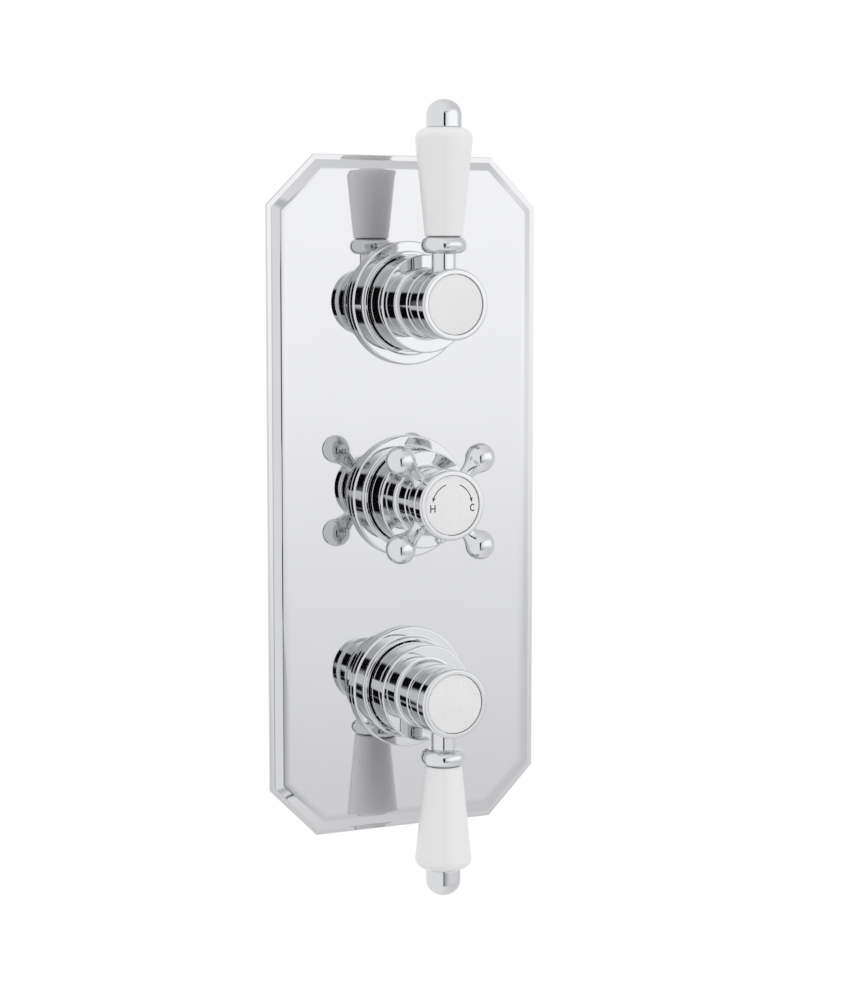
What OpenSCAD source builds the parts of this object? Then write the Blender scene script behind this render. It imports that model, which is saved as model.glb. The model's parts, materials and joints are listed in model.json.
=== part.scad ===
// Triple concealed shower valve: an octagonal face plate with two lever handles for flow,
// a cross handle for temperature, and the brass valve that is built into the wall behind it.
// The origin is the middle of the face plate on the finished wall. The front is -Y, up is +Z.
// A "depth" is measured from the wall towards the user, so a negative depth is inside the wall.

/* [Face plate] */
// Width of the face plate
plate_w = 130; // [120:1:160]
// Height of the face plate
plate_h = 300; // [290:1:340]
// Length that each 45 degree corner takes off a side
plate_corner = 22; // [12:1:30]
// Thickness of the plate's metal
plate_t = 1.2; // [1:0.1:1.6]
// Width of the flat rim round the edge
rim_w = 2.2; // [1.6:0.1:4]
// Width of the bevel between rim and panel
bevel_w = 3.6; // [2.4:0.1:6]
// Height of the panel above the rim
plate_rise = 2.4; // [2:0.1:4]
// Distance between neighbouring knob centres
knob_pitch = 85.5; // [80:0.5:95]

/* [Escutcheons] */
// Radius of the flange that clamps the plate
flange_r = 26.8; // [25:0.1:30]
// Height of the flange's edge above the panel
flange_t = 3.5; // [2.8:0.1:5]
// Radius of the collar
collar_r = 22.6; // [21.6:0.1:23]
// Height of the collar above the panel
collar_h = 5.8; // [5:0.1:8]
// Outer radius of the threaded sleeve that the escutcheon screws on
sleeve_r = 17; // [16.6:0.1:17.6]

/* [Handle hubs] */
// Radius of the bead at the front of the skirt
skirt_r = 21.4; // [21:0.1:23]
// Radius of the skirt at its rear
waist_r = 20.6; // [20:0.1:21]
// Length of the skirt on the lever handles
lever_skirt_l = 14.6; // [13:0.1:18]
// Length of the skirt on the cross handle
cross_skirt_l = 13.4; // [13:0.1:18]
// Radius of the neck
neck_r = 14.6; // [14:0.1:15]
// Length of the neck on the lever handles
lever_neck_l = 22.1; // [21:0.1:26]
// Length of the neck on the cross handle
cross_neck_l = 20.3; // [19:0.1:24]
// Running gap between a hub and its collar
hub_gap = 0.9; // [0.6:0.1:1.5]

/* [Caps] */
// Radius of the cap ring
cap_r = 15.2; // [14.8:0.1:16.5]
// Length of the cap ring in front of the hub
cap_l = 6.3; // [5.5:0.1:8]
// Radius of the ceramic index disc
disc_r = 12.8; // [12:0.1:13]

/* [Levers] */
// Radius of the lever's stem
stem_r = 5.2; // [4.6:0.1:5.8]
// Distance from the knob's axis to the stem's bead
bead_reach = 21.5; // [20:0.1:26]
// Radius of the bead
bead_r = 9.8; // [9.2:0.1:11]
// Length of the bead along the lever
bead_l = 7.2; // [6:0.1:9]
// Radius of the ceramic sleeve at its foot
grip_foot_r = 8.1; // [7.6:0.1:8.8]
// Radius of the ceramic sleeve at its widest
grip_r = 12.2; // [11:0.1:14]
// Length of the ceramic sleeve
grip_l = 45.6; // [40:0.1:55]
// Radius of the end finial
finial_r = 7.5; // [6.5:0.1:8.2]
// Length of the end finial
finial_l = 12.2; // [11:0.1:16]

/* [Cross handle] */
// Radius of the ball on each arm
ball_r = 6.5; // [5.5:0.1:7.5]
// Distance from the knob's axis to the middle of a ball
ball_reach = 26.9; // [25:0.1:32]
// Radius of an arm where it meets the hub
arm_foot_r = 3.1; // [2.8:0.1:3.6]
// Radius of the override button
button_r = 2.6; // [2.2:0.1:2.8]
// Travel of the override button
button_travel = 1.5; // [1:0.1:1.6]

/* [Valve body] */
// Depth of the valve's back plane inside the wall
body_back = 62; // [60:1:75]
// Depth of the front of each cartridge boss inside the wall
boss_front = 20; // [18:1:22]
// Outer radius of a cartridge boss
boss_r = 18.5; // [17.8:0.1:21]
// Bore radius of a cartridge boss
boss_bore_r = 13.3; // [13:0.1:13.6]
// Distance from the middle of the valve to the mouth of each inlet
inlet_reach = 46; // [44:1:54]
// Distance from the outer knobs' axes to the mouth of each outlet
outlet_reach = 42.5; // [38:0.5:50]
// Wall radius of the half inch parallel pipe thread, left smooth
thread_r = 9.3; // [9.1:0.1:9.5]
// Length of each pipe thread
thread_l = 13; // [10:0.5:15]
// Distance between the wall fixing holes, side to side
fixing_w = 64; // [58:1:74]
// Distance between the wall fixing holes, up and down
fixing_h = 86; // [80:1:88]
// Radius of the wall fixing holes
fixing_r = 2.75; // [2.2:0.05:3.2]

/* [Hidden] */

// Facets of round surfaces, and steps in each rounded corner of an outline
$fn = 72;
arc_steps = 6;
// Overrun of every cut
over = 1;
// Radial clearance of a turning or sliding fit
running = 0.05;
// Clearance between pieces that are screwed or pushed together
assembly = 0.1;
// Gap between faces that slide on each other
face_gap = 0.05;

// Plate details: the small step beside the rim, and the foam seal
step_h = 0.35;
seal_w = 7;
seal_inset = 1;
plate_hole_clear = 0.6;
panel_d = plate_t + plate_rise;

// Escutcheon details
flange_edge = 1;
flange_lip = 0.7;
collar_foot = 1.1;
collar_round_r = 0.6;
collar_front_d = panel_d + collar_h;
sleeve_wall = 1.4;
sleeve_foot_r = boss_r - plate_hole_clear;
sleeve_foot_t = 3;
sleeve_short = 0.8;

// Hub details
hub_rear_d = collar_front_d + hub_gap;
hub_wall = 2;
rear_edge = 0.6;
skirt_bead_l = 2;
skirt_bead_edge = 0.6;
skirt_groove = 0.25;
cove_r = 1.4;
line_h = 0.25;
line_w = 0.6;
line_share = 0.45;
ridge_h = 0.45;
ridge_l = 1.6;
web_t = 2.4;
core_r = 7.5;
core_gap = 2;
cavity_r = 9;
floor_t = 5.1;
tip_back = 3.5;
lever_hub_front = hub_rear_d + lever_skirt_l + lever_neck_l;
cross_hub_front = hub_rear_d + cross_skirt_l + cross_neck_l;

// Spindle spline and handle screw
spline_teeth = 18;
spline_root_r = 4.2;
spline_tip_r = 4.7;
spindle_r = 5;
screw_r = 1.9;
screw_hole_r = 2;
screw_head_r = 3.4;
screw_head_l = 2.4;
screw_socket_r = 1.5;
screw_socket_l = 1.3;
screw_l = 12;

// Cap details
cap_edge = 1.5;
cap_rear_edge = 0.8;
cap_lip = 0.5;
cap_floor = 1.6;
cap_seam = 0.12;
cap_spigot_l = 2;
cap_spigot_wall = 1.3;
disc_sink = 0.5;
disc_edge = 0.6;
disc_crown = 0.25;
crown_share = 0.75;

// Lever details
lever_back = 5.6;
stem_root = 1.5;
stem_spigot_r = 3.9;
spigot_short = 0.6;
rod_r = 2.9;
rod_into_finial = 4.4;
rod_hole_r = 3.1;
grip_foot_edge = 0.7;
grip_round_r = 4;
grip_round_angle = 75;
grip_round_flat = 0.3;
grip_land = 1;
finial_edge = 0.5;
finial_dome_share = 0.52;
lever_d = lever_hub_front - lever_back;
grip_start = bead_reach + bead_l;
finial_start = grip_start + grip_l;

// Cross handle details
arm_back = 5.5;
arm_spigot_r = 2.3;
arm_taper_share = 0.92;
arm_taper_back = 1.3;
arm_d = cross_hub_front - arm_back;
arm_angles = [45, 135, 225, 315];
button_dome = 0.8;
button_stand = button_travel + button_dome;
button_flange = 0.5;
button_flange_t = 1;
button_seat_gap = 0.15;
hole_start = 5;
column_r = 4.6;
stop_pin_r = 1.3;
stop_pin_reach = 12;
stop_ring_r = 13.6;
stop_ring_t = 2;
stop_rib_w = 2.6;
stop_rib_h = 4;
stop_pin_gap = 0.4;
stop_play = 1.5;
cold_angle = 135;
hot_angle = 45;
stop_ring_back = 0.8;
stop_ring_front_d = collar_front_d - stop_ring_back;

// Valve body details
body_wall = 4;
seat_d = -44;
seat_hole_r = 7.2;
trunk_d = -52;
trunk_r = 9;
trunk_bore_r = 5.2;
inlet_r = 13.3;
inlet_d = -34;
outlet_r = 12.6;
outlet_d = -36;
outlet_port_r = 6.8;
inlet_port_r = 2.8;
hot_port_d = -29;
cold_port_d = -39;
mixer_end_d = -46;
mixer_rear_r = 10;
filter_seat_r = 9;
filter_seat_l = 2.2;
check_pocket_r = 8.6;
check_pocket_l = 14.8;
check_pocket_end = inlet_reach - thread_l - filter_seat_l - check_pocket_l;
lug_r = 8;
lug_half = 6.6;
lug_t = 5;

// Lever cartridge details
bush_thread_l = 9;
bush_nose_r = 11.5;
bush_nose_end = 0.4;
hex_r = 15;
hex_t = 6;
bush_neck_r = 9.5;
bush_neck_l = 12;
disc_pocket_r = 9.4;
ceramic_r = disc_pocket_r - running;
seat_seal_r = 6.2;
seat_seal_t = 2;
ceramic_t = 2.9;
port_inner_r = 2.8;
port_outer_r = 7.6;
port_angle = 70;
drive_shoulder_r = 6.3;
chamber_l = 3.2;
drive_lug_w = 2.4;
drive_lug_h = 1.2;
turn_lug_w = 2.4;
turn_lug_from = 5.5;
turn_lug_to = 9;
turn_stop_from = 6.8;
turn_stop_to = 10;
turn_start = 45;
turn_stop_corner_r = norm([turn_stop_from, turn_lug_w / 2]);
turn_spread = asin((turn_lug_w / 2 + face_gap) / turn_stop_corner_r) + atan(turn_lug_w / 2 / turn_stop_from);
bush_window_r = 1.4;
fixed_disc_d = seat_d + seat_seal_t + face_gap;
moving_disc_d = fixed_disc_d + ceramic_t + face_gap;
drive_d = moving_disc_d + ceramic_t + face_gap;
chamber_d = drive_d + ceramic_t;

// Thermostat details
bonnet_thread_l = 4;
housing_r = 13.15;
groove_r = 11.6;
housing_bore_r = 9.6;
housing_lip_r = 6.6;
housing_lip_t = 1.2;
hot_groove_ds = [-32, -26.2];
cold_groove_ds = [-42, -36];
ring_ds = [-25.15, -34, -44];
ring_wire_r = 0.7;
ring_groove_w = 1.7;
ring_groove_deep = 1.45;
bush_ring_d = -boss_front - bush_thread_l / 2;
shuttle_l = 9.2;
shuttle_d = -34;
mix_window_r = 1;
shuttle_wall = 2.2;
shuttle_web_t = 2.4;
shuttle_hole_r = 1.2;
shuttle_hole_reach = 5.6;
shuttle_travel = 1.3;
wax_r = 3.6;
wax_l = 8.6;
wax_cap_l = 1.6;
wax_flange = 0.5;
wax_pin_r = 1.5;
nut_r = 6;
nut_floor = 1;
bonnet_wall = 1.6;
adjuster_flange_r = 8;
adjuster_r = 3.2;
adjuster_l = 3.4;
adjuster_end = -boss_front - bonnet_thread_l - adjuster_l;
return_spring_r = 7.6;
return_wire_r = 0.5;
return_turns = 3;

// Check valve details
cage_r = 8.5;
cage_bore_r = 6.2;
cage_l = 8.8;
cage_seat_r = 4.4;
cage_seat_t = 1.4;
cage_web_t = 1.4;
cage_spoke_w = 1.6;
cage_hub_r = 2.2;
poppet_r = 5.6;
poppet_t = 1.5;
poppet_stem_r = 1.2;
poppet_tail = 1.4;
check_spring_r = 2.6;
check_wire_r = 0.25;
check_turns = 3;
filter_t = 1.2;
filter_rim = 1.4;
filter_bar = 0.7;
filter_bars = 4;

// Spring tubes
spring_sides = 6;
spring_steps = 12;
button_wire_r = 0.22;
button_spring_r = 1.5;
button_turns = 2;

chrome = [0.86, 0.87, 0.89];
brass = [0.80, 0.64, 0.36];
ceramic = [0.95, 0.95, 0.93];
white_disc = [0.88, 0.86, 0.82];
rubber = [0.10, 0.10, 0.11];
polymer = [0.30, 0.32, 0.35];
steel = [0.70, 0.71, 0.72];

// Points of an arc, for outlines that are written as [radius, depth] pairs
function arc(x, y, r, from, to) = [
    for (i = [0 : arc_steps])
        let (a = from + (to - from) * i / arc_steps) [x + r * cos(a), y + r * sin(a)]
];

// Puts a piece on the axis of the knob at height z. Its own z is then the depth.
module on_axis(z) {
    translate([0, 0, z]) rotate([90, 0, 0]) children();
}

// Puts a piece along a lever. Its own z is then the distance from the knob's axis.
module on_lever(side) {
    translate([0, -lever_d, side * knob_pitch]) rotate([0, side > 0 ? 0 : 180, 0]) children();
}

// Puts a piece along an arm of the cross handle, at an angle from straight right
module on_arm(angle) {
    translate([0, -arm_d, 0]) rotate([0, 90 - angle, 0]) children();
}

module lathe(points) {
    rotate_extrude() polygon(points);
}

module tube(r, bore, from, to) {
    translate([0, 0, from]) difference() {
        cylinder(r = r, h = to - from);
        translate([0, 0, -over]) cylinder(r = bore, h = to - from + 2 * over);
    }
}

module rod(r, from, to) {
    translate([0, 0, from]) cylinder(r = r, h = to - from);
}

// A round-wire compression spring that stands on z = 0
module spring(r, wire, turns, length) {
    rise = length - 2 * wire;
    count = turns * spring_steps;
    rings = [
        for (i = [0 : count])
            let (a = 360 * i / spring_steps, z = wire + rise * i / count)
                for (j = [0 : spring_sides - 1])
                    let (b = 360 * j / spring_sides, q = r + wire * cos(b))
                        [q * cos(a), q * sin(a), z + wire * sin(b)]
    ];
    sides = [
        for (i = [0 : count - 1])
            for (j = [0 : spring_sides - 1])
                let (k = (j + 1) % spring_sides, m = i * spring_sides)
                    each [
                        [m + j, m + k, m + spring_sides + k],
                        [m + j, m + spring_sides + k, m + spring_sides + j],
                    ]
    ];
    first = [for (j = [0 : spring_sides - 1]) spring_sides - 1 - j];
    last = [for (j = [0 : spring_sides - 1]) count * spring_sides + j];
    polyhedron(points = rings, faces = concat(sides, [first, last]));
}

// Face plate

function corner_at(inset) = plate_corner - inset * (2 - sqrt(2));

module octagon(inset) {
    x = plate_w / 2 - inset;
    z = plate_h / 2 - inset;
    c = corner_at(inset);
    polygon([
        [-x, c - z], [c - x, -z], [x - c, -z], [x, c - z],
        [x, z - c], [x - c, z], [c - x, z], [-x, z - c],
    ]);
}

module plate_slab(inset, from, to) {
    translate([0, 0, from]) linear_extrude(to - from) octagon(inset);
}

module face_plate() {
    color(chrome) rotate([90, 0, 0]) difference() {
        union() {
            plate_slab(0, 0, plate_t);
            hull() {
                plate_slab(rim_w, 0, plate_t + step_h);
                plate_slab(rim_w + bevel_w, 0, panel_d);
            }
        }
        hull() {
            plate_slab(rim_w + plate_t, -over, step_h);
            plate_slab(rim_w + bevel_w + plate_t / 2, -over, panel_d - plate_t);
        }
        for (z = [-knob_pitch, 0, knob_pitch])
            translate([0, z, -over]) cylinder(r = sleeve_r + plate_hole_clear, h = panel_d + 2 * over);
    }
}

module plate_seal() {
    outer = rim_w + bevel_w + plate_t / 2 + seal_inset;
    color(rubber) rotate([90, 0, 0]) difference() {
        plate_slab(outer, 0, panel_d - plate_t - assembly);
        plate_slab(outer + seal_w, -over, panel_d);
    }
}

// Sleeves and escutcheons, which clamp the plate

module mounting_sleeves() {
    color(brass) for (z = [-knob_pitch, 0, knob_pitch]) on_axis(z) {
        difference() {
            union() {
                rod(sleeve_r, -boss_front + assembly, collar_front_d - sleeve_short);
                rod(sleeve_foot_r, -boss_front + assembly, sleeve_foot_t - boss_front);
            }
            rod(sleeve_r - sleeve_wall, -boss_front - over, collar_front_d + over);
        }
    }
}

module escutcheon(z) {
    bore = sleeve_r + assembly;
    back = panel_d + face_gap;
    edge_d = panel_d + flange_t;
    color(chrome) on_axis(z) lathe(concat(
        [[bore, back], [flange_r - flange_edge, back]],
        arc(flange_r - flange_edge / 2, back + flange_edge / 2, flange_edge / 2, -90, 0),
        arc(flange_r - flange_edge, edge_d - flange_edge, flange_edge, 0, 90),
        [[flange_r - flange_edge - flange_lip, edge_d]],
        [[collar_r, panel_d + collar_foot]],
        arc(collar_r - collar_round_r, collar_front_d - collar_round_r, collar_round_r, 0, 90),
        [[bore, collar_front_d]]
    ));
}

// Lever cartridges: a brass bush with two ceramic discs that open over a quarter turn

module spline(r_root, r_tip) {
    polygon([
        for (i = [0 : 2 * spline_teeth - 1])
            let (a = 180 * i / spline_teeth, r = i % 2 == 0 ? r_tip : r_root) [r * cos(a), r * sin(a)]
    ]);
}

// A block in the chamber of the cartridge. One turns with the spindle, two stop it.
module turn_block(angle, from, to, h) {
    rotate(angle) translate([from, -turn_lug_w / 2, chamber_d]) cube([to - from, turn_lug_w, h]);
}

module cartridge_bush(z) {
    nose_d = seat_d + bush_nose_end;
    thread_d = -boss_front - bush_thread_l;
    color(brass) on_axis(z) difference() {
        union() {
            rod(bush_nose_r, nose_d, thread_d);
            rod(boss_bore_r - assembly, thread_d, -boss_front);
            translate([0, 0, -boss_front + face_gap]) cylinder(r = hex_r, h = hex_t, $fn = 6);
            rod(bush_neck_r, -boss_front, hex_t + bush_neck_l - boss_front);
        }
        difference() {
            rod(disc_pocket_r, nose_d - over, chamber_d + chamber_l);
            for (a = [turn_start - turn_spread, turn_start + 90 + turn_spread])
                turn_block(a, turn_stop_from, turn_stop_to, chamber_l + over);
        }
        rod(spindle_r + running, nose_d, over + hex_t + bush_neck_l - boss_front);
        for (turn = [0, 90]) translate([0, 0, chamber_d + chamber_l / 2]) rotate([90, 0, turn])
            cylinder(r = bush_window_r, h = 2 * bush_nose_r + 2 * over, center = true);
        ring_groove(boss_bore_r - assembly, bush_ring_d);
    }
}

module seat_seal(z) {
    color(rubber) on_axis(z) tube(ceramic_r, seat_seal_r, seat_d, seat_d + seat_seal_t);
}

module sector(r, angle) {
    far = r / cos(angle / 2);
    polygon([[0, 0], [far * cos(angle / 2), -far * sin(angle / 2)], [far, 0],
        [far * cos(angle / 2), far * sin(angle / 2)]]);
}

// A disc with two opposite ports, turned so that the ports face the given angle
module ported_disc(angle) {
    linear_extrude(ceramic_t) difference() {
        circle(r = ceramic_r);
        for (half = [0, 180]) rotate(angle + half) intersection() {
            difference() {
                circle(r = port_outer_r);
                circle(r = port_inner_r);
            }
            sector(port_outer_r + over, port_angle);
        }
    }
}

module fixed_disc(z) {
    color(ceramic) on_axis(z) translate([0, 0, fixed_disc_d]) ported_disc(0);
}

module moving_disc(z) {
    color(ceramic) on_axis(z) translate([0, 0, moving_disc_d]) difference() {
        ported_disc(90);
        translate([0, 0, ceramic_t]) cube([
            2 * (port_outer_r + assembly),
            drive_lug_w + 2 * assembly,
            2 * (drive_lug_h + assembly),
        ], center = true);
    }
}

function skirt_front(skirt_l) = hub_rear_d + skirt_l;
function floor_at(skirt_l) = skirt_front(skirt_l) + floor_t;
function tip_at(skirt_l) = floor_at(skirt_l) - tip_back;

// Splined front end of a spindle, with the hole for the handle screw
module spindle_front(skirt_l) {
    tip_d = tip_at(skirt_l);
    difference() {
        union() {
            rod(spindle_r, -boss_front, hub_rear_d);
            translate([0, 0, hub_rear_d]) linear_extrude(tip_d - hub_rear_d)
                spline(spline_root_r, spline_tip_r);
        }
        rod(screw_hole_r, tip_d - screw_l, tip_d + over);
    }
}

module lever_spindle(z) {
    color(brass) on_axis(z) {
        spindle_front(lever_skirt_l);
        rod(spindle_r, drive_d, -boss_front);
        translate([0, 0, drive_d]) ported_disc(90);
        rod(drive_shoulder_r, chamber_d, chamber_d + chamber_l - face_gap);
        turn_block(turn_start, turn_lug_from, turn_lug_to, chamber_l - 2 * running);
        translate([0, 0, drive_d])
            cube([2 * port_outer_r, drive_lug_w, 2 * drive_lug_h], center = true);
    }
}

// Handle hubs. One outline makes skirt, mirror face, cove, neck, raised line and front ridge.

function flare(skirt_l) = [
    for (i = [0 : arc_steps])
        let (t = i / arc_steps)
            [
                waist_r + (skirt_r - skirt_groove - waist_r) * t * t,
                hub_rear_d + rear_edge + (skirt_l - skirt_bead_l - rear_edge) * t,
            ]
];

function ridge(front) = [
    for (i = [0 : arc_steps])
        let (a = -90 + 180 * i / arc_steps)
            [neck_r + ridge_h * cos(a), front - ridge_l / 2 * (1 - sin(a))]
];

module hub_form(skirt_l, neck_l) {
    skirt_d = skirt_front(skirt_l);
    front_d = skirt_d + neck_l;
    line_d = skirt_d + line_share * neck_l;
    inner_r = waist_r - hub_wall;
    lathe(concat(
        [[0, hub_rear_d + core_gap], [core_r, hub_rear_d + core_gap]],
        [[core_r, skirt_d - web_t], [inner_r, skirt_d - web_t], [inner_r, hub_rear_d]],
        arc(waist_r - rear_edge, hub_rear_d + rear_edge, rear_edge, -90, 0),
        flare(skirt_l),
        [[skirt_r, skirt_d - skirt_bead_l + skirt_groove]],
        arc(skirt_r - skirt_bead_edge, skirt_d - skirt_bead_edge, skirt_bead_edge, 0, 90),
        arc(neck_r + cove_r, skirt_d + cove_r, cove_r, 270, 180),
        [[neck_r, line_d], [neck_r + line_h, line_d + line_h]],
        [[neck_r + line_h, line_d + line_w], [neck_r, line_d + line_w + line_h]],
        ridge(front_d),
        [[cavity_r, front_d], [cavity_r, floor_at(skirt_l)], [0, floor_at(skirt_l)]]
    ));
}

module spindle_socket(skirt_l) {
    start = hub_rear_d - over;
    socket_end = tip_at(skirt_l) + assembly;
    translate([0, 0, start]) linear_extrude(socket_end - start)
        spline(spline_root_r + assembly, spline_tip_r + assembly);
    rod(screw_r + assembly, start, floor_at(skirt_l) + over);
}

module lever_hub(side) {
    color(chrome) difference() {
        on_axis(side * knob_pitch) difference() {
            hub_form(lever_skirt_l, lever_neck_l);
            spindle_socket(lever_skirt_l);
        }
        on_lever(side) rod(stem_spigot_r + assembly, hole_start, neck_r + over);
    }
}

module handle_screw(z, skirt_l) {
    floor_d = floor_at(skirt_l);
    color(steel) on_axis(z) difference() {
        union() {
            rod(screw_r, tip_at(skirt_l) - screw_l + over, floor_d);
            rod(screw_head_r, floor_d, floor_d + screw_head_l);
        }
        translate([0, 0, floor_d + screw_head_l - screw_socket_l])
            cylinder(r = screw_socket_r, h = screw_socket_l + over, $fn = 6);
    }
}

// Caps

module cap_ring(z, front_d) {
    base = front_d + face_gap;
    top = front_d + cap_l;
    spigot_r = cavity_r - assembly;
    recess_r = disc_r + cap_seam;
    color(chrome) on_axis(z) lathe(concat(
        [[spigot_r - cap_spigot_wall, base - cap_spigot_l], [spigot_r, base - cap_spigot_l]],
        [[spigot_r, base]],
        arc(cap_r - cap_rear_edge, base + cap_rear_edge, cap_rear_edge, -90, 0),
        arc(cap_r - cap_edge, top - cap_edge, cap_edge, 0, 90),
        [[recess_r, top - cap_lip], [recess_r, base + cap_floor], [0, base + cap_floor]],
        [[0, base], [spigot_r - cap_spigot_wall, base]]
    ));
}

module index_disc(z, front_d) {
    base = front_d + face_gap + cap_floor + face_gap;
    top = front_d + cap_l - disc_sink;
    color(white_disc) on_axis(z) lathe(concat(
        [[0, base], [disc_r, base]],
        arc(disc_r - disc_edge, top - disc_edge, disc_edge, 0, 90),
        [[disc_r / 2, top + disc_crown * crown_share], [0, top + disc_crown]]
    ));
}

// Levers: a chromed stem with a bead, a ceramic sleeve threaded on its rod, and a finial

module lever_stem(side) {
    bead_x = bead_r - bead_l / 2;
    color(chrome) difference() {
        on_lever(side) union() {
            rod(stem_spigot_r, cavity_r + spigot_short, neck_r);
            difference() {
                rod(stem_r, neck_r - stem_root, bead_reach + bead_l / 2);
                rotate([90, 0, 0])
                    cylinder(r = neck_r + face_gap, h = 4 * stem_r, center = true);
                rotate([90, 0, 0]) translate([0, 0, lever_back - ridge_l - face_gap])
                    cylinder(r = neck_r + ridge_h + face_gap, h = 2 * ridge_l);
            }
            lathe(concat(
                [[0, bead_reach]],
                arc(bead_x, bead_reach + bead_l / 2, bead_l / 2, -90, 90),
                [[0, grip_start]]
            ));
            rod(rod_r, grip_start, finial_start + rod_into_finial);
        }
    }
}

module lever_sleeve(side) {
    start = grip_start + face_gap;
    top = finial_start;
    color(ceramic) on_lever(side) lathe(concat(
        [[rod_hole_r, start]],
        arc(grip_foot_r - grip_foot_edge, start + grip_foot_edge, grip_foot_edge, -90, 0),
        arc(grip_r - grip_round_r, top - grip_round_r - grip_round_flat, grip_round_r, 0, grip_round_angle),
        [[finial_r + grip_land, top], [rod_hole_r, top]]
    ));
}

module finial(side) {
    start = finial_start + face_gap;
    dome_l = finial_l * finial_dome_share;
    dome_s = finial_start + finial_l - dome_l;
    color(chrome) on_lever(side) lathe(concat(
        [[rod_hole_r, start]],
        arc(finial_r - finial_edge, start + finial_edge, finial_edge, -90, 0),
        [
            for (i = [0 : 2 * arc_steps])
                let (a = 90 * i / (2 * arc_steps)) [finial_r * cos(a), dome_s + dome_l * sin(a)]
        ],
        [[0, start + rod_into_finial + face_gap], [rod_hole_r, start + rod_into_finial + face_gap]]
    ));
}

// Cross handle

module centre_hub() {
    floor_d = floor_at(cross_skirt_l);
    pin_end_d = skirt_front(cross_skirt_l) - web_t;
    color(chrome) difference() {
        union() {
            on_axis(0) {
                difference() {
                    union() {
                        hub_form(cross_skirt_l, cross_neck_l);
                        rod(column_r, floor_d, arm_d + button_r);
                    }
                    spindle_socket(cross_skirt_l);
                    rod(screw_head_r + assembly, floor_d, arm_d + cavity_r);
                }
                translate([0, stop_pin_reach, 0])
                    rod(stop_pin_r, stop_ring_front_d + stop_pin_gap, pin_end_d + over);
            }
        }
        for (angle = arm_angles)
            on_arm(angle) rod(arm_spigot_r + assembly, hole_start, neck_r + over);
        on_arm(270) rod(button_r + running, hole_start, neck_r + over);
    }
}

module ball_arms() {
    taper_end = ball_reach - arm_taper_back;
    color(chrome) for (angle = arm_angles) on_arm(angle) {
        rod(arm_spigot_r, cavity_r + spigot_short, neck_r);
        difference() {
            union() {
                translate([0, 0, ball_reach]) sphere(r = ball_r);
                translate([0, 0, neck_r - stem_root]) cylinder(
                    r1 = arm_foot_r,
                    r2 = ball_r * arm_taper_share,
                    h = taper_end - neck_r + stem_root
                );
            }
            rotate([90, 0, 0])
                cylinder(r = neck_r + face_gap, h = 4 * arm_foot_r, center = true);
        }
    }
}

button_flange_s = sqrt(cavity_r * cavity_r - (button_r + button_flange) * (button_r + button_flange))
    - button_seat_gap;

module override_button() {
    flange = button_r + button_flange;
    tip = neck_r + button_stand;
    color(chrome) on_arm(270) lathe(concat(
        [[0, button_flange_s - button_flange_t], [flange, button_flange_s - button_flange_t]],
        [[flange, button_flange_s], [button_r, button_flange_s]],
        arc(button_r - button_dome, tip - button_dome, button_dome, 0, 90),
        [[0, tip]]
    ));
}

module button_spring() {
    start = column_r + face_gap;
    color(steel) on_arm(270) translate([0, 0, start])
        spring(button_spring_r, button_wire_r, button_turns,
            button_flange_s - button_flange_t - face_gap - start);
}

// Thermostat

module thermostat_bonnet() {
    thread_d = -boss_front - bonnet_thread_l;
    color(brass) on_axis(0) difference() {
        union() {
            rod(boss_bore_r - assembly, thread_d, -boss_front);
            translate([0, 0, -boss_front + face_gap]) cylinder(r = hex_r, h = hex_t, $fn = 6);
            rod(bush_neck_r, -boss_front, stop_ring_front_d);
        }
        rod(spindle_r + running, thread_d - over, stop_ring_front_d + over);
        rod(adjuster_flange_r + assembly, thread_d - over, -boss_front - bonnet_wall);
    }
}

module temperature_spindle() {
    flange_d = -boss_front - bonnet_thread_l;
    color(brass) on_axis(0) {
        spindle_front(cross_skirt_l);
        rod(spindle_r, flange_d, -boss_front);
        rod(adjuster_flange_r, flange_d, -boss_front - bonnet_wall - face_gap);
        rod(adjuster_r, flange_d - adjuster_l, flange_d);
    }
}

module stop_ring() {
    pin_angle = asin(stop_pin_r / stop_pin_reach) + stop_play;
    from = 90 + hot_angle + pin_angle;
    to = 450 - cold_angle - pin_angle;
    rib_r = stop_pin_reach - stop_rib_w / 2;
    color(polymer) on_axis(0) {
        tube(stop_ring_r, bush_neck_r + assembly, stop_ring_front_d - stop_ring_t, stop_ring_front_d);
        translate([0, 0, stop_ring_front_d - stop_ring_t / 2]) linear_extrude(stop_rib_h) difference() {
            circle(r = rib_r + stop_rib_w);
            circle(r = rib_r);
            polygon(concat([[0, 0]], [
                for (i = [0 : 2 * arc_steps])
                    let (a = to + (from + 360 - to) * i / (2 * arc_steps), far = 2 * stop_ring_r)
                        [far * cos(a), far * sin(a)]
            ]));
        }
    }
}

module thermostat_housing() {
    front = -boss_front - bonnet_thread_l - assembly;
    rear = mixer_end_d + assembly;
    color(polymer) on_axis(0) difference() {
        rod(housing_r, rear, front);
        rod(housing_bore_r, rear + housing_lip_t, front + over);
        rod(housing_lip_r, rear - over, front);
        for (g = [hot_groove_ds, cold_groove_ds]) {
            tube(housing_r + over, groove_r, g[0], g[1]);
            for (turn = [0, 90]) translate([0, 0, (g[0] + g[1]) / 2]) rotate([90, 0, turn])
                cylinder(r = mix_window_r, h = 2 * housing_r, center = true);
        }
        for (d = ring_ds)
            ring_groove(housing_r, d);
    }
}

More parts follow.
